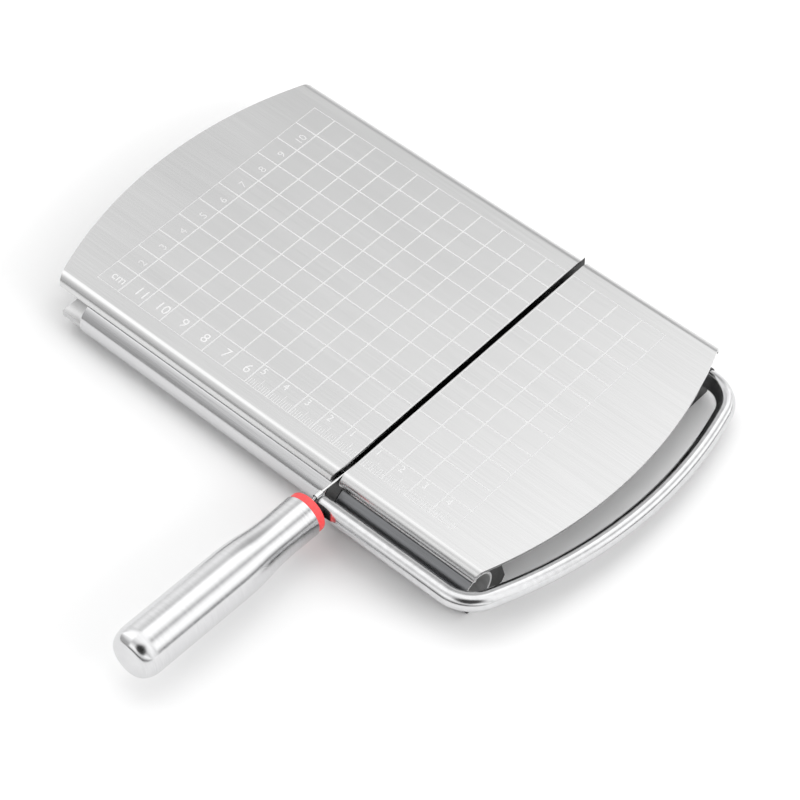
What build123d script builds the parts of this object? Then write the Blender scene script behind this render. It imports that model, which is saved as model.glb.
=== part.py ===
from build123d import *
import math
import os

os.makedirs("parts", exist_ok=True)

# Sizes in millimetres. X runs along the board, Y from front to back and Z up from the table.
# The slot is at x = 0 and the middle of the board's width at y = 0 until the last step.

# Board
board_width = 128.4
board_height = 20.0
left_reach = 143.2
right_reach = 71.5
left_curve = 161.6
right_curve = 166.3
right_skew = 1.3
sheet = 1.0
slot_width = 2.1
lip_depth = 4.2
lip_radius = 4.0
lip_corner = 1.4
flare_length = 5.0
flare_width = 1.6

# Rails under the long edges
rail_radius = 7.25
rail_wall = 0.9
front_rail_inset = 3.1
rear_rail_inset = 6.2
rail_lift = 0.75
rail_gap = 4.8
left_rail_inset = 13.2
right_rail_inset = 0.7

# Feet
foot_length = 9.1
left_foot_toe = 1.0
left_foot_front = 6.6
left_foot_knee = 6.5
foot_toe = 4.8
foot_front = 6.9
foot_knee = 4.5
foot_shelf = 9.0
foot_neck = 1.0
foot_neck_width = 9.9
heel_top = 12.0
heel_out = 13.9
heel_high = 2.4
heel_sole = 12.4
lug_width = 9.6
lug_floor = 9.5
foot_edge = 0.8
plug_length = 8.0
hinge_foot_toe = 0.9
hinge_foot_wall = 0.5
hinge_foot_reach = 0.8

# Foot fasteners
boss_radius = 3.0
boss_length = 6.5
screw_radius = 1.5
screw_head_radius = 2.8
screw_head_height = 1.8
screw_grip = 5.0

# Trough under the slot
trough_width = 5.2
trough_floor = 4.0
trough_wall = 1.0
trough_flange = 8.0
trough_end_gap = 1.7

# Spacers between rail and sheet
spacer_length = 10.0
spacer_offset = 8.0
spacer_inner = 4.0

# Rest under the arm's tip
rest_clearance = 0.4
tongue_height = 2.0

# Bow
rod_radius = 3.3
arm_offset = 8.3
arm_drop = 5.4
arm_tip = 0.9
bow_gap = 4.4
bow_shift = 1.6
bend_radius = 13.0
tip_round = 1.3
axle_overhang = 2.0

# Hinge
bush_length = 8.0
clip_thickness = 0.6
clip_radius = 5.2
clip_depth = 0.45
clip_mouth = 4.4
clip_play = 0.3

# Wire
wire_radius = 0.4
wire_lift = 4.3
sleeve_radius = 0.95
sleeve_back = 0.9
sleeve_length = 2.9
ball_radius = 1.1
ball_play = 0.1

# Handle
handle_gap = 4.8
ring_thickness = 3.3
ring_radius = 7.4
handle_length = 79.2
front_radius = 7.75
waist_radius = 7.65
grip_radius = 9.2
waist_at = 10.5
grip_at = 33.5
end_edge_length = 6.5
end_edge_radius = 3.5
shell_wall = 0.8
neck_width = 2.6
neck_top = 3.8
spigot_radius = 4.2
spigot_length = 14.0
spigot_wall = 1.2
key_width = 1.0
key_height = 0.7
stud_radius = 2.5
stud_bore = 1.3
stud_length = 24.0
stud_nose = 2.0
stud_flare = 1.5
wire_tail = 4.0
wire_notch = 2.0
wire_slot_floor = 2.2
collar_length = 3.0
washer_thickness = 0.8
nut_length = 10.0
socket_depth = 26.0

# Fits
running = 0.05
snug = 0.05
play = 0.3

# Places that follow from the sizes
half_width = board_width / 2
half_slot = slot_width / 2
under_sheet = board_height - sheet
front_rail_y = front_rail_inset - half_width
rear_rail_y = half_width - rear_rail_inset
rail_z = rail_radius + rail_lift
rail_bore = rail_radius - rail_wall
half_gap = rail_gap / 2
left_corner = left_reach - left_curve + math.sqrt(left_curve**2 - half_width**2)
right_centre = right_reach - right_curve
right_front_corner = right_centre + math.sqrt(right_curve**2 - (half_width - right_skew) ** 2)
right_rear_corner = right_centre + math.sqrt(right_curve**2 - (half_width + right_skew) ** 2)
left_rail_end = left_corner - left_rail_inset
right_rail_end = right_front_corner - right_rail_inset
neck_back = foot_neck + foot_neck_width
boss_inset = neck_back + lug_width / 2

# The bow lies in one plane through the hinge axis, tilted up towards the handle
rise = board_height - arm_drop - rail_z
run = rear_rail_y + half_width + arm_offset
tilt = math.atan2(rise, run)
arm_reach = math.hypot(rise, run)
bow_plane = Plane(
    origin=(0, rear_rail_y, rail_z),
    x_dir=(1, 0, 0),
    z_dir=(0, math.sin(tilt), math.cos(tilt)),
)
handle_axis = Axis(bow_plane.origin, -bow_plane.y_dir)
ring_start = arm_reach + handle_gap
handle_start = ring_start + ring_thickness
spigot_end = ring_start + spigot_length
stud_start = ring_start + handle_gap
sleeve_start = arm_reach - sleeve_back
pieces = {}


def keep(piece, name):
    """Label a finished piece and keep it for the last step."""
    piece.part.label = name
    pieces[name] = piece.part


def station(reach, height=0.0):
    """A plane square to the handle's axis, at a distance from the hinge axis."""
    centre = bow_plane.from_local_coords((0, -reach, height))
    return Plane(origin=centre, x_dir=(1, 0, 0), z_dir=-bow_plane.y_dir)


def plate(name, reach, curve, skew, side, flared=False):
    """One half of the cutting surface: a sheet with a curved end and two turned-down edges."""
    inner = side * half_slot
    with BuildPart() as half:
        with BuildSketch(Plane.YZ.offset(inner)):
            with BuildLine():
                lip_end = board_height - lip_depth
                FilletPolyline(
                    (-half_width, lip_end),
                    (-half_width, board_height),
                    (half_width, board_height),
                    (half_width, lip_end),
                    radius=lip_radius,
                )
                FilletPolyline(
                    (-half_width + sheet, lip_end),
                    (-half_width + sheet, under_sheet),
                    (half_width - sheet, under_sheet),
                    (half_width - sheet, lip_end),
                    radius=lip_radius - sheet,
                )
                Line((-half_width, lip_end), (-half_width + sheet, lip_end))
                Line((half_width, lip_end), (half_width - sheet, lip_end))
            make_face()
        extrude(amount=side * (reach - half_slot))
        lip_ends = half.edges().filter_by(Axis.Y).group_by(Axis.Z)[0]
        fillet(lip_ends.filter_by_position(Axis.X, inner - 0.1, inner + 0.1), lip_corner)
        with BuildSketch():
            with Locations((side * (reach - curve), -skew)):
                Circle(curve)
            if flared:
                with BuildLine():
                    flare_start = (inner, flare_length - half_width)
                    flare_end = (inner + side * flare_width, -half_width)
                    TangentArc(flare_start, flare_end, tangent=(0, -1))
                    Polyline(flare_end, (0, -half_width), (0, flare_start[1]), flare_start)
                make_face(mode=Mode.SUBTRACT)
        extrude(amount=board_height, mode=Mode.INTERSECT)
    keep(half, name)


def rail(name, start, end, y):
    """A round tube under one long edge."""
    with BuildPart() as tube:
        with BuildSketch(Plane.YZ.offset(start)):
            with Locations((y, rail_z)):
                Circle(rail_radius)
                Circle(rail_bore, mode=Mode.SUBTRACT)
        extrude(amount=end - start)
    keep(tube, name)


def foot(name, start, y, front_face, plug_start=None, hinge=False):
    """A block that stands on the table, holds a rail's end and carries the sheet."""
    side = math.copysign(1, y)
    toe, front, knee = front_face
    outline = [
        (toe, 0),
        (front, knee),
        (front, foot_shelf),
        (-foot_neck, foot_shelf),
        (-foot_neck, under_sheet),
        (-neck_back - lug_width, under_sheet),
        (-neck_back - lug_width, lug_floor),
        (-heel_top, lug_floor),
        (-heel_out, heel_high),
        (-heel_sole, 0),
    ]
    with BuildPart() as block:
        with BuildSketch(Plane.YZ.offset(start)):
            with BuildLine():
                Polyline([(y + side * out, z) for out, z in outline], close=True)
            make_face()
            if hinge:
                with Locations((y, rail_z)):
                    Circle(rod_radius + hinge_foot_wall)
        extrude(amount=foot_length)
        middle = (start + foot_length / 2, y - side * boss_inset)
        with BuildSketch():
            with Locations(middle):
                Circle(screw_radius + play)
        extrude(amount=under_sheet, mode=Mode.SUBTRACT)
        with BuildSketch(Plane.XY.offset(under_sheet)):
            with Locations(middle):
                Circle(boss_radius + snug)
        extrude(amount=-(boss_length + snug), mode=Mode.SUBTRACT)
        if plug_start is None:
            with BuildSketch(Plane.YZ.offset(start)):
                with Locations((y, rail_z)):
                    Circle(rail_radius + snug)
            extrude(amount=foot_length, mode=Mode.SUBTRACT)
        else:
            with BuildSketch(Plane.YZ.offset(plug_start)):
                with Locations((y, rail_z)):
                    Circle(rail_bore - snug)
            extrude(amount=plug_length)
        if hinge:
            with BuildSketch(Plane.YZ.offset(plug_start)):
                with Locations((y, rail_z)):
                    Circle(rod_radius + running)
            extrude(amount=plug_length + foot_length, mode=Mode.SUBTRACT)
    keep(block, name)


# Cutting surface in two halves
plate("left_plate", left_reach, left_curve, 0, -1, flared=True)
plate("right_plate", right_reach, right_curve, right_skew, 1)

# Four rails, open at the slot so that the wire passes between them
hinge_foot_start = right_rear_corner + hinge_foot_reach - foot_length
rail("front_left_rail", -left_rail_end, -half_gap, front_rail_y)
rail("rear_left_rail", -left_rail_end, -half_gap, rear_rail_y)
rail("front_right_rail", half_gap, right_rail_end, front_rail_y)
rail("rear_right_rail", half_gap, hinge_foot_start, rear_rail_y)

# Feet: plugged into three of the rails, and one threaded over the open rail
left_foot_start = -left_rail_end - foot_length
right_foot_start = right_rail_end - foot_length
left_face = (left_foot_toe, left_foot_front, left_foot_knee)
right_face = (foot_toe, foot_front, foot_knee)
hinge_face = (hinge_foot_toe, hinge_foot_toe, foot_knee)
hinge_plug_start = hinge_foot_start - plug_length
foot("front_left_foot", left_foot_start, front_rail_y, left_face, -left_rail_end)
foot("rear_left_foot", left_foot_start, rear_rail_y, left_face, -left_rail_end)
foot("front_right_foot", right_foot_start, front_rail_y, right_face)
foot("rear_right_foot", hinge_foot_start, rear_rail_y, hinge_face, hinge_plug_start, hinge=True)
foot_half = foot_length / 2
left_boss_spots = [
    (left_foot_start + foot_half, front_rail_y + boss_inset),
    (left_foot_start + foot_half, rear_rail_y - boss_inset),
]
right_boss_spots = [
    (right_foot_start + foot_half, front_rail_y + boss_inset),
    (hinge_foot_start + foot_half, rear_rail_y - boss_inset),
]


def bosses(name, spots):
    """Threaded bosses welded under one half, one for each foot."""
    with BuildPart() as pair:
        with BuildSketch(Plane.XY.offset(under_sheet)):
            with Locations(*spots):
                Circle(boss_radius)
                Circle(screw_radius + running, mode=Mode.SUBTRACT)
        extrude(amount=-boss_length)
    keep(pair, name)


bosses("left_bosses", left_boss_spots)
bosses("right_bosses", right_boss_spots)

# Four screws, up through the feet into the bosses
with BuildPart() as foot_screws:
    screw_spots = left_boss_spots + right_boss_spots
    with BuildSketch(Plane.XY.offset(lug_floor)):
        with Locations(*screw_spots):
            Circle(screw_head_radius)
    extrude(amount=-screw_head_height)
    head_rims = foot_screws.edges().filter_by(GeomType.CIRCLE).group_by(Axis.Z)[0]
    chamfer(head_rims, screw_head_height / 4)
    with BuildSketch(Plane.XY.offset(lug_floor)):
        with Locations(*screw_spots):
            Circle(screw_radius)
    extrude(amount=under_sheet - boss_length + screw_grip - lug_floor)
    with BuildSketch(Plane.XY.offset(lug_floor - screw_head_height)):
        with Locations(*screw_spots):
            RegularPolygon(screw_radius, 6)
    extrude(amount=screw_head_height / 2, mode=Mode.SUBTRACT)
keep(foot_screws, "foot_screws")


def spacers(name, start):
    """Two pads that carry the sheet on the rails beside the slot."""
    with BuildPart() as pads:
        with BuildSketch(Plane.YZ.offset(start)):
            for y in (front_rail_y, rear_rail_y):
                side = math.copysign(1, y)
                with BuildLine():
                    inner_y = y - side * spacer_inner
                    outer_y = side * (half_width - lip_radius)
                    Polyline(
                        (inner_y, rail_z), (outer_y, rail_z), (outer_y, under_sheet),
                        (inner_y, under_sheet), close=True,
                    )
                make_face()
            with Locations((front_rail_y, rail_z), (rear_rail_y, rail_z)):
                Circle(rail_radius + snug, mode=Mode.SUBTRACT)
        extrude(amount=spacer_length)
    keep(pads, name)


spacers("left_spacers", -spacer_offset - spacer_length)
spacers("right_spacers", spacer_offset)

# The trough joins the two halves and leaves the wire room to sink below the surface
with BuildPart() as slot_trough:
    half_trough = trough_width / 2
    trough_front = front_rail_y + rail_radius + trough_end_gap
    trough_rear = rear_rail_y - rail_radius - trough_end_gap
    wall_outer = half_trough + trough_wall
    flange_outer = wall_outer + trough_flange
    with BuildSketch(Plane.XZ.offset(-trough_front)):
        with BuildLine():
            Polyline(
                (0, trough_floor), (half_trough, trough_floor), (half_trough, under_sheet),
                (flange_outer, under_sheet), (flange_outer, under_sheet - trough_wall),
                (wall_outer, under_sheet - trough_wall), (wall_outer, trough_floor - trough_wall),
                (0, trough_floor - trough_wall), close=True,
            )
        make_face()
        mirror(about=Plane.YZ)
    extrude(amount=trough_front - trough_rear)
keep(slot_trough, "slot_trough")

# The rest bridges the front rails and carries the end of the bow's arm
with BuildPart() as bow_rest:
    rest_top = board_height - arm_drop - rod_radius - rest_clearance
    tongue_end = half_width + arm_offset + rod_radius / 3
    with BuildSketch(Plane.YZ.offset(-spacer_offset - spacer_length)):
        with Locations((front_rail_y, rail_z)):
            Circle(rail_bore - snug)
    extrude(amount=2 * (spacer_offset + spacer_length))
    with BuildSketch(Plane.YZ.offset(-half_gap + play)):
        with Locations((front_rail_y, rail_z)):
            Circle(rail_radius)
        with BuildLine():
            Polyline(
                (front_rail_y, rail_z - rail_radius / 2), (front_rail_y - rail_radius, rail_z),
                (-tongue_end, rest_top - tongue_height), (-tongue_end, rest_top),
                (front_rail_y, rest_top), close=True,
            )
        make_face()
    extrude(amount=rail_gap - 2 * play)
keep(bow_rest, "bow_rest")

# Nylon bush in the rear right rail, where the axle comes out
with BuildPart() as hinge_bush:
    with BuildSketch(Plane.YZ.offset(half_gap)):
        with Locations((rear_rail_y, rail_z)):
            Circle(rail_bore - snug)
            Circle(rod_radius + running, mode=Mode.SUBTRACT)
    extrude(amount=bush_length)
keep(hinge_bush, "hinge_bush")

# Bow: one bent rod, from the axle in the rear rail round the right end to the front arm
curve_reach = rear_rail_y - bow_shift
bow_curve = right_curve + bow_gap + rod_radius


def bend_points(reach):
    """Where a bend leaves a straight run at this reach, and where it meets the long curve."""
    toward = 1 if reach > curve_reach else -1
    bend_reach = reach - toward * bend_radius
    span = bow_curve - bend_radius
    bend_x = right_centre + math.sqrt(span**2 - (bend_reach - curve_reach) ** 2)
    scale = bow_curve / span
    join_x = right_centre + (bend_x - right_centre) * scale
    join_reach = curve_reach + (bend_reach - curve_reach) * scale
    return (bend_x, -reach), (join_x, -join_reach)


arm_bend, arm_join = bend_points(arm_reach)
axle_bend, axle_join = bend_points(0)
with BuildPart() as bow:
    with BuildLine(bow_plane) as rod_path:
        arm_run = Line((-arm_tip, -arm_reach), arm_bend)
        front_bend = TangentArc(arm_bend, arm_join, tangent=bow_plane.x_dir)
        ThreePointArc(arm_join, (right_centre + bow_curve, -curve_reach), axle_join)
        rear_bend = TangentArc(axle_bend, axle_join, tangent=bow_plane.x_dir)
        axle_run = Line(axle_bend, (-axle_overhang, 0))
    with BuildSketch(Plane(origin=arm_run @ 0, z_dir=arm_run % 0)):
        Circle(rod_radius)
    sweep()
    tip_rim = bow.edges().filter_by(GeomType.CIRCLE).sort_by(Axis.Y)[0]
    fillet(tip_rim, tip_round)
    with BuildSketch(station(-rod_radius)):
        Circle(wire_radius + ball_play)
    extrude(amount=2 * rod_radius, mode=Mode.SUBTRACT)
    clip_start = half_gap - clip_play - clip_thickness
    with BuildSketch(Plane.YZ.offset(clip_start - running)):
        with Locations((rear_rail_y, rail_z)):
            Circle(rod_radius + clip_depth)
            Circle(rod_radius - clip_depth, mode=Mode.SUBTRACT)
    extrude(amount=clip_thickness + 2 * running, mode=Mode.SUBTRACT)
keep(bow, "bow")

# Retaining clip in the axle's groove
with BuildPart() as axle_clip:
    with BuildSketch(Plane.YZ.offset(clip_start)):
        with Locations((rear_rail_y, rail_z)):
            Circle(clip_radius)
            Circle(rod_radius - clip_depth + running, mode=Mode.SUBTRACT)
        with Locations((rear_rail_y, rail_z - clip_radius)):
            Rectangle(clip_mouth, 2 * clip_radius, mode=Mode.SUBTRACT)
    extrude(amount=clip_thickness)
keep(axle_clip, "axle_clip")

# Neck: welded to the arm, guides the wire and carries the handle
with BuildPart() as handle_neck:
    neck_face = ring_start - play
    with BuildSketch(station(arm_reach)):
        slot_run = neck_top + rod_radius - neck_width
        wire_slot_top = wire_lift + wire_radius + play
        with Locations((0, (neck_top - rod_radius) / 2)):
            SlotCenterToCenter(slot_run, neck_width, rotation=90)
    extrude(amount=neck_face - arm_reach)
    with BuildSketch(station(neck_face)):
        Circle(spigot_radius)
    extrude(amount=spigot_end - neck_face)
    with BuildSketch(station(neck_face)):
        Circle(spigot_radius - spigot_wall)
        with Locations((0, -spigot_radius + spigot_wall)):
            Rectangle(key_width + 2 * running, 2 * (key_height + running))
    extrude(amount=spigot_end - neck_face, mode=Mode.SUBTRACT)
    with BuildSketch(station(arm_reach)):
        with Locations((0, (wire_slot_floor + wire_slot_top) / 2)):
            Rectangle(2 * (wire_radius + play), wire_slot_top - wire_slot_floor)
    extrude(amount=neck_face - arm_reach + wire_notch, mode=Mode.SUBTRACT)
    with BuildSketch(station(arm_reach, wire_lift)):
        Circle(sleeve_radius + snug)
    extrude(amount=sleeve_length - sleeve_back, mode=Mode.SUBTRACT)
    with BuildSketch(Plane(origin=arm_run @ 0 - (snug, 0, 0), z_dir=(1, 0, 0))):
        Circle(rod_radius + snug)
    extrude(amount=neck_width, mode=Mode.SUBTRACT)
keep(handle_neck, "handle_neck")

# Guide sleeve, seated in the neck over the arm's tip
with BuildPart() as wire_sleeve:
    with BuildSketch(station(sleeve_start, wire_lift)):
        Circle(sleeve_radius)
        Circle(wire_radius + running, mode=Mode.SUBTRACT)
    extrude(amount=sleeve_length)
keep(wire_sleeve, "wire_sleeve")

# Cutting wire: from the ball behind the axle, through the sleeve, down into the stud
ball_reach = -rod_radius - ball_radius - snug
ball_height = wire_lift * ball_reach / arm_reach
bead_reach = stud_start + stud_nose + ball_radius + ball_play
with BuildPart() as wire:
    with BuildLine(bow_plane) as wire_path:
        side_plane = Plane(origin=bow_plane.origin, x_dir=-bow_plane.y_dir, z_dir=(-1, 0, 0))
        wire_points = [
            (ball_reach, ball_height),
            (sleeve_start, wire_lift),
            (sleeve_start + sleeve_length, wire_lift),
            (stud_start - ball_play, 0),
            (bead_reach + wire_tail, 0),
        ]
        Polyline([side_plane.from_local_coords((reach, height, 0)) for reach, height in wire_points])
    with BuildSketch(Plane(origin=wire_path.line @ 0, z_dir=wire_path.line % 0)):
        Circle(wire_radius)
    sweep(transition=Transition.RIGHT)
keep(wire, "wire")


def crimp(name, reach, height):
    """A round bead crimped on one end of the wire."""
    with BuildPart() as bead:
        with Locations(bow_plane.from_local_coords((0, -reach, height))):
            Sphere(ball_radius)
        with BuildSketch(station(reach - 2 * ball_radius, height)):
            Circle(wire_radius + snug)
        extrude(amount=4 * ball_radius, mode=Mode.SUBTRACT)
    keep(bead, name)


crimp("rear_bead", ball_reach, ball_height)
crimp("front_bead", bead_reach, 0)

# Tension stud: hollow, keyed in the neck and drawn back by the nut
with BuildPart() as tension_stud:
    with BuildSketch(station(stud_start)):
        Circle(stud_radius)
    extrude(amount=stud_length)
    with BuildSketch(station(stud_start)):
        Circle(spigot_radius - spigot_wall - running)
        with Locations((0, -spigot_radius + spigot_wall)):
            Rectangle(key_width, 2 * key_height)
    extrude(amount=collar_length)
    with BuildSketch(station(stud_start)):
        Circle(wire_radius + ball_play)
    extrude(amount=stud_length, mode=Mode.SUBTRACT)
    with BuildSketch(station(stud_start)):
        Circle(stud_flare)
    with BuildSketch(station(stud_start + stud_nose)):
        Circle(wire_radius + ball_play)
    loft(mode=Mode.SUBTRACT)
    with BuildSketch(station(stud_start + stud_nose)):
        Circle(stud_bore)
    extrude(amount=stud_length - stud_nose, mode=Mode.SUBTRACT)
keep(tension_stud, "tension_stud")

# Thrust washer between the spigot's end and the nut
with BuildPart() as thrust_washer:
    with BuildSketch(station(spigot_end + snug)):
        Circle(front_radius - shell_wall - 2 * play)
        Circle(stud_radius + play, mode=Mode.SUBTRACT)
    extrude(amount=washer_thickness)
keep(thrust_washer, "thrust_washer")

# Nut pressed into the handle
shell_bore = waist_radius - shell_wall
nut_start = spigot_end + washer_thickness + 2 * snug
with BuildPart() as handle_nut:
    with BuildSketch(station(nut_start)):
        Circle(shell_bore - snug)
        Circle(stud_radius + running, mode=Mode.SUBTRACT)
    extrude(amount=nut_length)
keep(handle_nut, "handle_nut")

# Bearing sleeve between the neck's spigot and the handle
with BuildPart() as handle_bearing:
    with BuildSketch(station(handle_start)):
        Circle(shell_bore - snug)
        Circle(spigot_radius + running, mode=Mode.SUBTRACT)
    extrude(amount=spigot_end - snug - handle_start)
keep(handle_bearing, "handle_bearing")

# Red ring at the front of the handle
with BuildPart() as handle_ring:
    with BuildSketch(station(ring_start)):
        Circle(ring_radius)
        Circle(spigot_radius + play, mode=Mode.SUBTRACT)
    extrude(amount=ring_thickness)
    rims = handle_ring.edges().filter_by(GeomType.CIRCLE)
    fillet(rims.filter_by(lambda rim: rim.radius > spigot_radius + 1), ring_thickness / 5)
keep(handle_ring, "handle_ring")

# Handle shell: a drawn tube with a slight waist and a rounded end
with BuildPart() as handle_shell:
    handle_end = handle_start + handle_length
    edge_start = handle_end - end_edge_length
    end_flat = grip_radius - end_edge_radius
    socket_end = handle_start + socket_depth
    grip_bore = grip_radius - shell_wall
    with BuildSketch(bow_plane):
        with BuildLine():
            Polyline((end_flat, -handle_end), (0, -handle_end), (0, -handle_end + shell_wall),
                     (end_flat, -handle_end + shell_wall))
            EllipticalCenterArc(
                (end_flat, -edge_start), end_edge_radius - shell_wall,
                end_edge_length - shell_wall, start_angle=270, arc_size=90,
            )
            Line((grip_bore, -edge_start), (grip_bore, -handle_start - grip_at))
            Line((grip_bore, -handle_start - grip_at), (shell_bore, -socket_end))
            Line((shell_bore, -socket_end), (shell_bore, -handle_start))
            Line((shell_bore, -handle_start), (front_radius, -handle_start))
            waist = (waist_radius, -handle_start - waist_at)
            swell = ((waist_radius + grip_radius) / 2, -handle_start - (waist_at + grip_at) / 2)
            grip = (grip_radius, -handle_start - grip_at)
            TangentArc(waist, (front_radius, -handle_start), tangent=(0, 1))
            TangentArc(waist, swell, tangent=(0, -1))
            TangentArc(grip, swell, tangent=(0, 1))
            Line(grip, (grip_radius, -edge_start))
            EllipticalCenterArc(
                (end_flat, -edge_start), end_edge_radius, end_edge_length,
                start_angle=270, arc_size=90,
            )
        make_face()
    revolve(axis=handle_axis)
keep(handle_shell, "handle_shell")

# Last step: the origin goes to the middle of the whole footprint, on the table
whole = Compound(children=list(pieces.values()))
box = whole.bounding_box()
origin = Vector(box.center().X, box.center().Y, box.min.Z)
print("origin in the board's frame", [round(value, 4) for value in origin])
print("tilt", round(math.degrees(tilt), 4), "arm reach", round(arm_reach, 3))
whole.children = ()
for name, piece in pieces.items():
    placed = piece.moved(Location(-origin))
    placed.label = name
    export_step(placed, f"parts/{name}.step")
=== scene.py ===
# %% [markdown]
# # A steel cheese board with a hinged wire bow
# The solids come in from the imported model, in metres, and stay where they are. This script gives
# them their finish, rounds the edges that catch the light, and etches the centimetre grid. Places
# are measured from the solids, so the marks and the camera stay with them.

# %% Load the solids
import bmesh
import bpy
import math
from mathutils import Matrix, Vector


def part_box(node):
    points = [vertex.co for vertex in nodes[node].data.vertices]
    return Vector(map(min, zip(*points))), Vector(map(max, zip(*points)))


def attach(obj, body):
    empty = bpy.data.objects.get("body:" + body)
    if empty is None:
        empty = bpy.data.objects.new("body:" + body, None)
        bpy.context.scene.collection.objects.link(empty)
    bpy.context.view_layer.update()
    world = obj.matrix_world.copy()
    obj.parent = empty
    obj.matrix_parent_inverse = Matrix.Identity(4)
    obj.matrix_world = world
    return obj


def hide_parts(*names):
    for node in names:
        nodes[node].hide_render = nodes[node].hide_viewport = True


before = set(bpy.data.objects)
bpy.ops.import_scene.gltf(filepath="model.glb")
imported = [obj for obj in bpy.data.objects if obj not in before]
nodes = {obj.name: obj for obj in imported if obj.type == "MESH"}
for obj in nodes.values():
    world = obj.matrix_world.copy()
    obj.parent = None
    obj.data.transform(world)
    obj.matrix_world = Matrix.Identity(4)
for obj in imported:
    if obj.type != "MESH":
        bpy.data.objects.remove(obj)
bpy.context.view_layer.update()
MM = 0.001

# %% [markdown]
# ## Where things are
# The slot and the middle of the board's width make a handy corner to measure from. Both are read
# from the two plates, and so is the height of the cutting surface.

# %% Places read from the plates
left_low, left_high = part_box("left_plate")
right_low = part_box("right_plate")[0]
slot_left = left_high.x
slot_right = right_low.x
slot_middle = (slot_left + slot_right) / 2
board_middle = (left_low.y + left_high.y) / 2
board_top = left_high.z
print("slot from", round(slot_left, 5), "to", round(slot_right, 5), "top", round(board_top, 5))


def on_board(x, y, z=0.0):
    """A place in millimetres from the slot, the board's middle and the table, in metres."""
    return Vector((slot_middle + x * MM, board_middle + y * MM, z * MM))


# %% [markdown]
# ## The camera
# A long lens far away keeps the board's edges nearly parallel, as in a catalogue picture. The
# camera stands to the right of the handle and looks down at about 51 degrees.

# %% Camera
camera = bpy.data.objects.new("camera", bpy.data.cameras.new("camera"))
bpy.context.scene.collection.objects.link(camera)
camera.location = on_board(401.5, -481.2, 770.9)
aim = on_board(-6.1, -26.2, 20.0)
camera.rotation_mode = "QUATERNION"
camera.rotation_quaternion = (aim - camera.location).to_track_quat("-Z", "Y")
camera.data.sensor_width = 36.0
camera.data.lens = 130.95
camera.data.clip_start = 0.05
camera.data.clip_end = 50.0
bpy.context.scene.camera = camera
print("camera is", round((aim - camera.location).length, 3), "m from the board")

# %% [markdown]
# ## Colours and nodes
# Colours are written as the hex values that a picture program shows, and turned to the linear
# values that the renderer works in. One more helper adds a shader node with its settings, so each
# material below reads as a short list.

# %% Helpers for colours and nodes


def colour(hexed):
    """An sRGB hex colour as linear red, green, blue and alpha."""
    channels = [int(hexed[i:i + 2], 16) / 255 for i in (1, 3, 5)]
    linear = [c / 12.92 if c <= 0.04045 else ((c + 0.055) / 1.055) ** 2.4 for c in channels]
    return (*linear, 1.0)


def put(tree, kind, inputs=None, **settings):
    """Add a node, set its properties, then set or link its inputs."""
    made = tree.nodes.new(kind)
    for name, value in settings.items():
        setattr(made, name, value)
    for name, value in (inputs or {}).items():
        if isinstance(value, bpy.types.NodeSocket):
            tree.links.new(value, made.inputs[name])
        else:
            made.inputs[name].default_value = value
    return made


def blank(name):
    """A material with an empty node tree."""
    material = bpy.data.materials.new(name)
    material.use_nodes = True
    material.node_tree.nodes.clear()
    return material, material.node_tree


def grain(tree, size, detail=2.0):
    """Noise whose cells have this size in millimetres along x, y and z."""
    place = put(tree, "ShaderNodeTexCoord").outputs["Object"]
    scale = [1.0 / (s * MM) for s in size]
    mapped = put(tree, "ShaderNodeMapping", {"Vector": place, "Scale": scale}, vector_type="POINT")
    inputs = {"Vector": mapped.outputs["Vector"], "Scale": 1.0, "Detail": detail}
    return put(tree, "ShaderNodeTexNoise", inputs).outputs["Fac"]


def between(tree, value, low, high):
    """Spread a noise value, which lies mostly from 0.3 to 0.7, between two numbers."""
    inputs = {"Value": value, "From Min": 0.3, "From Max": 0.7, "To Min": low, "To Max": high}
    return put(tree, "ShaderNodeMapRange", inputs).outputs["Result"]


def mixed(tree, factor, first, second):
    """Mix two colours, each a hex value or another node's output."""
    mix = put(tree, "ShaderNodeMix", data_type="RGBA")
    tree.links.new(factor, mix.inputs[0])
    for socket, given in ((mix.inputs[6], first), (mix.inputs[7], second)):
        if isinstance(given, bpy.types.NodeSocket):
            tree.links.new(given, socket)
        else:
            socket.default_value = colour(given)
    return mix.outputs[2]


def tones(tree, value, dark, light):
    """Spread a noise value between two colours."""
    return mixed(tree, between(tree, value, 0.0, 1.0), dark, light)


def bumps(tree, value, depth, strength):
    """Turn a noise value into a bump of this depth in millimetres."""
    inputs = {"Height": value, "Distance": depth * MM, "Strength": strength}
    return put(tree, "ShaderNodeBump", inputs).outputs["Normal"]


def finish_with(tree, inputs):
    """Close a tree with one principled shader."""
    shader = put(tree, "ShaderNodeBsdfPrincipled", inputs)
    put(tree, "ShaderNodeOutputMaterial", {"Surface": shader.outputs["BSDF"]})


# %% [markdown]
# ## Brushed stainless steel
# The cutting surface is stainless sheet brushed along the board. Brushing leaves fine scratches
# that blur what the steel reflects across their direction. A noise stretched along x draws them.
# The real scratches are a few hundredths of a millimetre wide, and here they are a third of a
# millimetre, so that they show in the render. A wide, weak second noise adds the slow changes in
# tone that rolled sheet has.

# %% Brushed steel for the plates
brushed, tree = blank("brushed stainless sheet")
scratches = grain(tree, (45.0, 0.3, 0.3), detail=3.0)
clouds = grain(tree, (60.0, 14.0, 14.0))
finish_with(tree, {
    "Base Color": tones(tree, scratches, "#D2D2D2", "#D9D9D9"),
    "Metallic": 1.0,
    "Roughness": between(tree, clouds, 0.22, 0.27),
    "Normal": bumps(tree, scratches, 0.004, 0.25),
})
print("made", brushed.name)

# %% [markdown]
# ## Polished steel
# The rod, the rails and the handle are tube and rod polished to a soft mirror. Their faint marks
# follow the way the polishing belt ran: along the rails, and round the handle. Roughness from 0.15
# to 0.22 keeps reflections clear with softened borders. Shade-darkened and hidden pieces are rougher.

# %% Polished steel for rails, rod and handle


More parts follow.
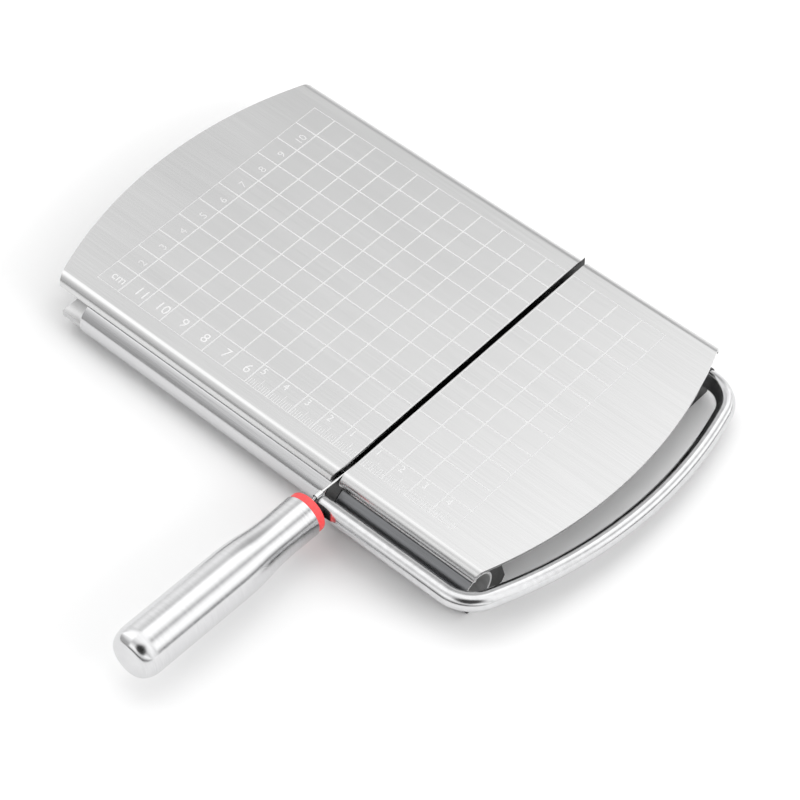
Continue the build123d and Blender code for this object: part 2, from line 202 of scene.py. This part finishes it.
def polished_steel(name, marks, dark, light, smooth, rough):
    """Polished steel with belt marks of a given size in millimetres."""
    material, tree = blank(name)
    lines = grain(tree, marks, detail=2.0)
    finish_with(tree, {
        "Base Color": tones(tree, lines, dark, light),
        "Metallic": 1.0,
        "Roughness": between(tree, lines, smooth, rough),
        "Normal": bumps(tree, lines, 0.004, 0.25),
    })
    return material


rail_steel = polished_steel("polished rail tube", (40.0, 0.4, 0.4), "#CDCDCE", "#D6D6D7", 0.15, 0.21)
# The darker rail tube is painted shade: the bow's arm and the plate's lip shade this rail.
shaded_rail_steel = polished_steel("rail tube darkened as painted shade", (30.0, 0.5, 0.5), "#797A7C", "#858688", 0.26, 0.34)
bore_steel = polished_steel("matt tube bore", (2.0, 2.0, 2.0), "#D6D6D6", "#E0E0E0", 0.55, 0.7)
rod_steel = polished_steel("polished bent rod", (2.5, 2.5, 2.5), "#CECECF", "#D8D8D9", 0.16, 0.22)
handle_steel = polished_steel("satin handle tube", (6.0, 0.35, 6.0), "#D0D0D1", "#DADADB", 0.16, 0.22)
wire_steel = polished_steel("drawn steel wire", (0.3, 8.0, 0.3), "#E2E2E2", "#F0F0F0", 0.18, 0.26)
hidden_steel = polished_steel("plain mild steel", (3.0, 3.0, 0.8), "#8C8D8F", "#A0A1A3", 0.35, 0.5)
# The dark grey neck is painted shade, for the shade between the rod and the ring.
neck_painted_shade = polished_steel("steel darkened as painted shade", (1.2, 1.2, 1.2), "#4A4B4C", "#5C5D5E", 0.3, 0.42)
brass = polished_steel("turned brass", (4.0, 0.3, 4.0), "#B3924C", "#C4A565", 0.25, 0.35)
print("made", rail_steel.name, rod_steel.name, handle_steel.name)

# %% [markdown]
# ## Rubber, nylon and the red ring
# The feet are moulded black rubber: nearly black, with a dull gloss and a fine pebble that spark
# erosion leaves in the mould. The ring is coral-red silicone. It is smoother, and light enters it a
# little, so its shaded side stays red. The pads and bushes are natural nylon. The two feet at the
# left end are silver grey, and get the steel's helper with a fine pebble.

# %% Rubber and plastics


def moulded(name, pebble, dark, light, smooth, rough, inside=0.0):
    """Moulded rubber or plastic with a pebbled surface of a given size in millimetres."""
    material, tree = blank(name)
    pebbles = grain(tree, (pebble, pebble, pebble), detail=1.0)
    finish_with(tree, {
        "Base Color": tones(tree, pebbles, dark, light),
        "Roughness": between(tree, pebbles, smooth, rough),
        "Normal": bumps(tree, pebbles, 0.01, 0.3),
        "Subsurface Weight": inside,
        "Subsurface Radius": (0.0012, 0.0004, 0.0003),
        "Subsurface Scale": 1.0,
    })
    return material


rubber = moulded("black rubber", 0.5, "#0F0F0F", "#161616", 0.36, 0.46)
grey_moulding = polished_steel("silver grey moulding", (0.5, 0.5, 0.5), "#C6C6C6", "#D0D0D0", 0.3, 0.38)
charcoal_nylon = moulded("charcoal nylon", 0.4, "#3A3A3A", "#454545", 0.32, 0.42)
# This black is painted shade: it darkens the slot and the ring's end that the rod mirrors.
painted_shade_black = moulded("black standing in for shade", 0.4, "#0C0C0C", "#131313", 0.42, 0.55)
nylon = moulded("natural nylon", 0.6, "#CFCBBF", "#DAD7CC", 0.4, 0.5)
red_silicone = moulded("coral red silicone", 0.8, "#F2484A", "#F65456", 0.36, 0.44, inside=0.15)
print("made", rubber.name, nylon.name, red_silicone.name)

# %% [markdown]
# ## Edges that catch the light
# A cut sheet is never sharp: its edge is tumbled or broken with a fine belt, and that narrow band
# shows as a bright line. The solids have sharp edges, so each of these pieces is a copy whose sharp
# edges get a small bevel. The copy's triangles are joined to flat faces first, because a bevel
# runs cleanly only round whole faces. Smooth shading would then tilt the light on a large flat face
# next to its bevel, so weighted normals give each large face its own direction.

# %% Copies with softened edges
crease_angle = math.radians(32)
flat_angle = math.radians(0.4)
bevel_angle = math.radians(40)
weld_distance = 0.002 * MM


def shown(mesh, name, material, body):
    """Make an object of a finished mesh, smooth its curved faces and let it ride on a body."""
    mesh.materials.clear()
    mesh.materials.append(material)
    mesh.shade_smooth()
    mesh.set_sharp_from_angle(angle=crease_angle)
    piece = bpy.data.objects.new(name, mesh)
    bpy.context.scene.collection.objects.link(piece)
    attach(piece, body)
    return piece


def softened(node, width, material, body, segments=2, where=None):
    """A copy of a solid with its sharp edges, or those that pass a test, bevelled by millimetres."""
    form = bmesh.new()
    form.from_mesh(nodes[node].data)
    bmesh.ops.remove_doubles(form, verts=form.verts, dist=weld_distance)
    bmesh.ops.dissolve_limit(form, angle_limit=flat_angle, verts=form.verts, edges=form.edges)
    sharp = [
        edge for edge in form.edges
        if len(edge.link_faces) == 2 and edge.calc_face_angle() > bevel_angle
        and (where is None or where((edge.verts[0].co + edge.verts[1].co) / 2))
    ]
    bmesh.ops.bevel(
        form, geom=sharp, offset=width * MM, offset_type="OFFSET", segments=segments,
        profile=0.5, affect="EDGES", material=-1, clamp_overlap=True,
    )
    bmesh.ops.recalc_face_normals(form, faces=form.faces)
    mesh = bpy.data.meshes.new(f"{node}_soft")
    form.to_mesh(mesh)
    form.free()
    piece = shown(mesh, f"{node}_soft", material, body)
    weighted = piece.modifiers.new("flat faces stay flat", "WEIGHTED_NORMAL")
    weighted.weight = 100
    weighted.keep_sharp = True
    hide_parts(node)
    print(piece.name, "faces", len(mesh.polygons), "bevelled edges", len(sharp))
    return piece


for plate in ("left_plate", "right_plate"):
    softened(plate, 0.22, brushed, "board")
for rail in ("front_left_rail", "rear_left_rail", "rear_right_rail"):
    softened(rail, 0.15, rail_steel, "board")
# The open rail's outside gets the darker steel as painted shade.
open_rail = softened("front_right_rail", 0.15, shaded_rail_steel, "board")
for foot in ("front_right_foot", "rear_right_foot"):
    softened(foot, 0.5, rubber, "board")


end_of_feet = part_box("front_left_foot")[0].x + 0.5 * MM
outer_side = 66 * MM
outer_half = 60 * MM


def outer_corner(middle):
    """True on the rounded outer corners of the two feet at the board's left end."""
    sideways = abs(middle.y - board_middle)
    return sideways > outer_side or (middle.x < end_of_feet and sideways > outer_half)


for foot in ("front_left_foot", "rear_left_foot"):
    softened(foot, 2.0, grey_moulding, "board", segments=5, where=outer_corner)

# %% [markdown]
# The rail beside the bow is open at its end. Its outside is darker and rougher as painted shade, for
# the shade of the bow's arm and the plate's lip, and its cut end and its bore are bright. The bore's
# faces look towards the rail's own axis, so a dot product finds them.

# %% The open rail's bright end and bore
open_rail.data.materials.append(bore_steel)
rail_low, rail_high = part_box("front_right_rail")
rail_axis = (rail_low + rail_high) / 2
looks_along = 0.4
for face in open_rail.data.polygons:
    outwards = face.center - rail_axis
    outwards.x = 0
    if abs(face.normal.x) > looks_along or face.normal.dot(outwards) < 0:
        face.material_index = 1
print("bright faces on the open rail", sum(f.material_index for f in open_rail.data.polygons))

# %% [markdown]
# The ring's end that looks at the rod is black as painted shade. The rod beside it mirrors that dark
# face, which stands in for the shade on the rod next to the ring. The copy of the ring gets a second
# material for the faces that look along the handle at the rod.

# %% The ring and its end painted dark as shade
ring = softened("handle_ring", 0.25, red_silicone, "handle")
# The end faces get black as painted shade.
ring.data.materials.append(painted_shade_black)
looks_at_rod = 0.9
for face in ring.data.polygons:
    if face.normal.y > looks_at_rod:
        face.material_index = 1
print("dark faces on the ring", sum(face.material_index for face in ring.data.polygons))

# %% [markdown]
# ## The etched grid
# The squares are marked on the sheet by chemical etching, which leaves a matt, whitish line. A line
# in the shader would blur when it is baked, so each half of the grid is a thin lattice that lies in
# the sheet. It starts as a grid of cells, each face is inset by half a line's width, and the inner
# faces are deleted, so that only the lines remain.

# %% Etched steel


def etched_steel(name, dark, light):
    """Frosted steel that scatters light the same way to all sides."""
    material, tree = blank(name)
    frosting = grain(tree, (0.25, 0.25, 0.25))
    finish_with(tree, {
        "Base Color": tones(tree, frosting, dark, light),
        "Metallic": 0.2,
        "Roughness": between(tree, frosting, 0.55, 0.7),
    })
    return material


deep_etch = etched_steel("etched lines", "#D6D6D6", "#E0E0E0")
light_etch = etched_steel("etched numerals", "#DEDEDE", "#E8E8E8")
faint_etch = etched_steel("faint etched numerals", "#D2D2D2", "#DCDCDC")
print("made", deep_etch.name, light_etch.name, faint_etch.name)

# %% The lattice of squares
cell = 10.0
rows = 11
front_line = -55.1
line_width = 0.5
line_height = 0.012
line_depth = 0.03


def thickened(form):
    """Give a flat form its small thickness, from just under the sheet's face to just over it."""
    top = bmesh.ops.extrude_face_region(form, geom=form.faces)["geom"]
    moved = [part for part in top if isinstance(part, bmesh.types.BMVert)]
    bmesh.ops.translate(form, verts=moved, vec=(0, 0, (line_height + line_depth) * MM))
    bmesh.ops.recalc_face_normals(form, faces=form.faces)


def etched_piece(form, name, material=deep_etch):
    """Finish a form made of etched marks."""
    mesh = bpy.data.meshes.new(name)
    form.to_mesh(mesh)
    form.free()
    print(name, "faces", len(mesh.polygons))
    return shown(mesh, name, material, "board")


def lattice(name, lines):
    """Squares between upright lines at these places, in millimetres from the slot's middle."""
    form = bmesh.new()
    columns = len(lines) - 1
    bmesh.ops.create_grid(form, x_segments=columns, y_segments=rows, size=1.0)
    for vert in form.verts:
        column = round((vert.co.x + 1) / 2 * columns)
        row = round((vert.co.y + 1) / 2 * rows)
        place = on_board(lines[column], front_line + row * cell)
        vert.co = (place.x, place.y, board_top - line_depth * MM)
    half_line = line_width / 2 * MM
    bmesh.ops.inset_individual(form, faces=form.faces, thickness=half_line, use_even_offset=True)
    inner = [
        face for face in form.faces
        if all(not vert.is_boundary and len(vert.link_faces) == 3 for vert in face.verts)
    ]
    bmesh.ops.delete(form, geom=inner, context="FACES")
    thickened(form)
    return etched_piece(form, name)


edge_gap = 0.3
left_lines = [-120.25 + cell * k for k in range(12)] + [(slot_left - slot_middle) / MM - edge_gap]
right_start = (slot_right - slot_middle) / MM + edge_gap
right_lines = [right_start + edge_gap / 2, 11.4, 21.6, 31.8, 42.2]
lattice("etched_grid_left", left_lines)
lattice("etched_grid_right", right_lines)

# %% [markdown]
# ## Millimetre marks
# Along the front line a comb of short marks counts the millimetres near the slot, with a longer one
# at every fifth. Each mark is a small flat face that starts at the front line.

# %% The comb of millimetre marks
mark_width = 0.24
short_mark = 2.9
long_mark = 4.7
left_millimetres = 50
right_millimetres = 40


def comb(name, start, step, count):
    """Marks at equal steps from a start, skipping the grid's own lines."""
    form = bmesh.new()
    for k in range(1, count):
        if k % 10 == 0:
            continue
        length = long_mark if k % 5 == 0 else short_mark
        middle = on_board(start + step * k, front_line + (line_width + length) / 2)
        shape = Matrix.Diagonal((mark_width * MM, length * MM, 1, 1))
        place = Matrix.Translation((middle.x, middle.y, board_top - line_depth * MM))
        bmesh.ops.create_grid(form, x_segments=1, y_segments=1, size=0.5, matrix=place @ shape)
    thickened(form)
    return etched_piece(form, name)


right_step = (right_lines[4] - right_lines[0]) / right_millimetres
comb("etched_marks_left", left_lines[11] + cell, -1.0, left_millimetres)
comb("etched_marks_right", right_lines[0], right_step, right_millimetres)

# %% [markdown]
# ## Numerals
# The numbers are set in Blender's own plain font, made a mesh and turned into etched marks. The
# ones that count the first five centimetres are smaller, because they stand over the comb. A second
# row, turned sideways, climbs the left column. Each entry holds the characters, their place along
# the board and over the front line, their height in millimetres, and their turn in degrees.

# %% Numbers and the unit
numerals = [("cm", -114.1, 4.6, 3.6, 0), ("11", -103.4, 4.9, 4.1, 0), ("10", -93.4, 4.9, 4.1, 0)]
numerals += [(str(k), -53.3 - 9.95 * (k - 6), 4.9, 4.1, 0) for k in (6, 7, 8, 9)]
numerals += [(str(k), 1.9 - 10.0 * k, 7.6, 2.9, 0) for k in (1, 2, 3, 4, 5)]
numerals += [(str(k), 3.6 + 10.2 * (k - 1), 7.6, 2.8, 0) for k in (1, 2, 3, 4)]
side_numerals = [(str(k), -113.0, 10.0 * k - 5.0, 3.2, 90) for k in range(2, 11)]


figure_height = 0.72  # the share of the font's size that a figure fills


def lettered(words, x, y, height, turn):
    """A flat mesh of a few characters, centred at a place over the front line."""
    curve = bpy.data.curves.new("numeral", "FONT")
    curve.body = words
    curve.size = height * MM / figure_height
    curve.align_x = "CENTER"
    curve.align_y = "CENTER"
    curve.resolution_u = 3
    maker = bpy.data.objects.new("numeral", curve)
    bpy.context.scene.collection.objects.link(maker)
    bpy.context.view_layer.update()
    evaluated = maker.evaluated_get(bpy.context.evaluated_depsgraph_get())
    mesh = bpy.data.meshes.new_from_object(evaluated)
    spot = on_board(x, front_line + y)
    place = Matrix.Translation((spot.x, spot.y, board_top - line_depth * MM))
    mesh.transform(place @ Matrix.Rotation(math.radians(turn), 4, "Z"))
    bpy.data.objects.remove(maker)
    bpy.data.curves.remove(curve)
    return mesh


def etched_words(name, list_of_words, material):
    """All the words of a list as one piece."""
    form = bmesh.new()
    for words, x, y, height, turn in list_of_words:
        letters = lettered(words, x, y, height, turn)
        form.from_mesh(letters)
        bpy.data.meshes.remove(letters)
    bmesh.ops.remove_doubles(form, verts=form.verts, dist=0.001 * MM)
    thickened(form)
    return etched_piece(form, name, material)


etched_words("etched_numerals", numerals, light_etch)
etched_words("etched_side_numerals", side_numerals, faint_etch)

# %% [markdown]
# ## Finishes for the solids
# The pieces whose solids are already right only get their material. The trough under the slot is
# black as painted shade, which is why the slot reads as a black line. The handle's neck is dark grey
# as painted shade.

# %% Dress the other solids
dressed = {
    rod_steel: ["bow"],
    handle_steel: ["handle_shell"],
    wire_steel: ["wire", "wire_sleeve", "rear_bead", "front_bead"],
    # The neck's dark grey is painted shade.
    neck_painted_shade: ["handle_neck"],
    hidden_steel: ["foot_screws", "left_bosses", "right_bosses", "axle_clip", "thrust_washer",
                   "tension_stud"],
    brass: ["handle_nut"],
    nylon: ["left_spacers", "right_spacers", "hinge_bush", "handle_bearing"],
    # The trough's black is painted shade for the narrow slot.
    painted_shade_black: ["slot_trough"],
    charcoal_nylon: ["bow_rest"],
}
for material, names in dressed.items():
    for name in names:
        nodes[name].data.materials.clear()
        nodes[name].data.materials.append(material)
print("dressed", sum(len(names) for names in dressed.values()), "solids")

# %% [markdown]
# Behind the trough's end nothing blocks the view through the slot, yet the slot is black up to the
# far edge, where only shade lies. A thin black strip on the left half's edge closes that view as
# painted shade. It lies beside the wire's path, and the wire swings past it. Its top far corner stands
# about 1.3 mm out of the rounded far edge, and a strip that ends near 61 would not.

# %% Black strip of painted shade at the slot's far end
strip_thickness = 0.2
strip_start, strip_end = 46.0, 64.1
strip_bottom, strip_top = 15.4, 19.6
strip_low = on_board(0, strip_start, strip_bottom)
strip_high = on_board(0, strip_end, strip_top)
strip_low.x = slot_left
strip_high.x = slot_left + strip_thickness * MM
form = bmesh.new()
shape = Matrix.Diagonal((*(strip_high - strip_low), 1))
place = Matrix.Translation((strip_low + strip_high) / 2)
bmesh.ops.create_cube(form, size=1.0, matrix=place @ shape)
mesh = bpy.data.meshes.new("slot_shade_strip")
form.to_mesh(mesh)
form.free()
shown(mesh, "slot_shade_strip", painted_shade_black, "board")
print("strip from", strip_start, "to", strip_end, "mm behind the board's middle")

# %% [markdown]
# ## Table
# The object stands on a plain white table that runs on behind it. Its top lies a little under the
# feet, because two faces in one plane would flicker.

# %% White table
table_reach = 8.0
under_feet = -0.05
form = bmesh.new()
bmesh.ops.create_grid(form, x_segments=1, y_segments=1, size=table_reach)
bmesh.ops.translate(form, verts=form.verts, vec=on_board(0, 0, under_feet))
mesh = bpy.data.meshes.new("table")
form.to_mesh(mesh)
form.free()
table = bpy.data.objects.new("table", mesh)
bpy.context.scene.collection.objects.link(table)
white, tree = blank("white table")
finish_with(tree, {"Base Color": colour("#FAFAFA"), "Roughness": 0.9, "Specular IOR Level": 0.1})
mesh.materials.append(white)

# %% [markdown]
# ## A light tent
# Polished steel shows nothing but its surroundings, so they decide how it looks. A studio puts
# such an object in a tent of white panels, and the seams between the panels draw the thin grey
# lines along the rod and the handle. The tent is made in the world shader. The angle round the
# handle's direction sets the panels at the back, and the angle round the rails' direction those in
# front. Each list below holds an angle from straight up, in degrees, and a brightness there.

# %% The tent's panels
strongest = 1.5
tent_strength = 1.8
back_panels = [
    (-90, 0.70), (-80, 0.88), (-62, 1.0), (-48, 0.86), (-38, 0.72), (-29, 0.74),
    (-25, 1.12), (-21, 1.35),
    (-6, 1.35), (8, 1.30), (17, 1.0), (25, 0.55), (31, 0.55), (39, 1.1), (52, 1.35), (66, 1.3),
    (75, 0.9), (82, 0.25), (90, 0.08),
]
front_panels = [
    (-40, 0.90), (-27, 0.95), (-11, 1.2), (5, 1.1), (14, 0.8), (21, 0.62), (27, 0.66), (37, 0.95),
    (50, 1.3), (62, 1.0), (70, 0.6), (79, 0.15), (90, 0.08),
]
left_panels = [
    (-40, 0.80), (-28, 0.8), (-18, 1.2), (5, 1.4), (20, 1.1), (29, 0.8), (41, 0.58), (53, 0.46),
    (65, 0.42), (77, 0.4), (90, 0.3),
]

world = bpy.data.worlds.new("light tent")
bpy.context.scene.world = world
world.use_nodes = True
tree = world.node_tree
tree.nodes.clear()
direction = put(tree, "ShaderNodeTexCoord").outputs["Generated"]
axes = put(tree, "ShaderNodeSeparateXYZ", {"Vector": direction}).outputs


def computed(operation, first, second):
    """One step of arithmetic in the world's tree."""
    return put(tree, "ShaderNodeMath", {0: first, 1: second}, operation=operation).outputs[0]


def spread(value, low, high):
    """A value spread smoothly from 0 at a low mark to 1 at a high mark."""
    inputs = {"Value": value, "From Min": low, "From Max": high}
    made = put(tree, "ShaderNodeMapRange", inputs, interpolation_type="SMOOTHSTEP")
    return made.outputs["Result"]


def panels(sideways, stops):
    """Brightness from a list of angles away from straight up."""
    angle = computed("ARCTAN2", sideways, axes["Z"])
    along = computed("ADD", computed("DIVIDE", angle, math.pi), 0.5)
    ramp = put(tree, "ShaderNodeValToRGB", {"Fac": along})
    while len(ramp.color_ramp.elements) < len(stops):
        ramp.color_ramp.elements.new(1.0)
    for element, (degrees, level) in zip(ramp.color_ramp.elements, stops):
        element.position = degrees / 180 + 0.5
        element.color = (level / strongest, level / strongest, level / strongest, 1.0)
    return ramp.outputs["Color"]


toward_front = computed("MULTIPLY", axes["Y"], -1.0)
to_the_right = spread(axes["X"], -0.44, -0.40)
to_the_back = spread(axes["Y"], 0.28, 0.42)
left, middle = panels(toward_front, left_panels), panels(toward_front, front_panels)
tent = mixed(tree, to_the_back, mixed(tree, to_the_right, left, middle), panels(axes["X"], back_panels))

# %% [markdown]
# Two dark patches finish the tent. The first is the opening that the camera looks in through, and
# it is the black spot in the handle's rounded end. The second is a gap low at the back left, which
# darkens the far edge of the cutting surface. Both are fixed in the tent, so they stay where they
# are when another camera is used.

# %% Dark patches and the tent's strength


def patch(toward, inner, outer, darkest):
    """A factor that is darkest near a direction and 1 beyond an outer angle in degrees."""
    toward = Vector(toward).normalized()
    facing = put(tree, "ShaderNodeVectorMath", {0: direction, 1: toward}, operation="DOT_PRODUCT")
    edges = math.cos(math.radians(inner)), math.cos(math.radians(outer))
    open_by = spread(facing.outputs["Value"], edges[1], edges[0])
    inputs = {"Value": open_by, "To Min": 1.0, "To Max": darkest}
    return put(tree, "ShaderNodeMapRange", inputs).outputs["Result"]


back_left = (-0.43, 0.78, 0.45)
opening = patch(camera.location - aim, 16, 30, 0.03)
back_gap = patch(back_left, 8, 26, 0.6)
level = put(tree, "ShaderNodeVectorMath", {0: tent}, operation="SCALE")
tree.links.new(computed("MULTIPLY", opening, back_gap), level.inputs["Scale"])
inputs = {"Color": level.outputs["Vector"], "Strength": tent_strength}
sky = put(tree, "ShaderNodeBackground", inputs)
put(tree, "ShaderNodeOutputWorld", {"Surface": sky.outputs["Background"]})
print("tent panels", len(back_panels) + len(front_panels) + len(left_panels))

# %% [markdown]
# ## Two soft lights
# One soft light hangs over the board. The other stands low at the right, reaches the table inside
# the bow, and makes the shadow on the other side deeper. The steel should mirror only the tent, so
# both lights are hidden from reflections.

# %% Soft lights


def softbox(name, place, width, depth, brightness):
    """A flat light that faces the board. Its power gives this brightness at any size."""
    light = bpy.data.lights.new(name, "AREA")
    light.shape = "RECTANGLE"
    light.size = width
    light.size_y = depth
    light.energy = brightness * math.pi * width * depth
    holder = bpy.data.objects.new(name, light)
    bpy.context.scene.collection.objects.link(holder)
    holder.location = on_board(*place)
    toward = on_board(0, 0, 10) - holder.location
    holder.rotation_mode = "QUATERNION"
    holder.rotation_quaternion = toward.to_track_quat("-Z", "Y")
    holder.visible_glossy = False
    print(name, "power", round(light.energy, 2), "W")


softbox("light above", (100, 200, 1700), 1.2, 1.2, 0.5)
softbox("light right", (1500, 300, 700), 1.0, 0.8, 4.0)

# %% View
bpy.context.scene.view_settings.view_transform = "Standard"
bpy.context.scene.view_settings.look = "None"
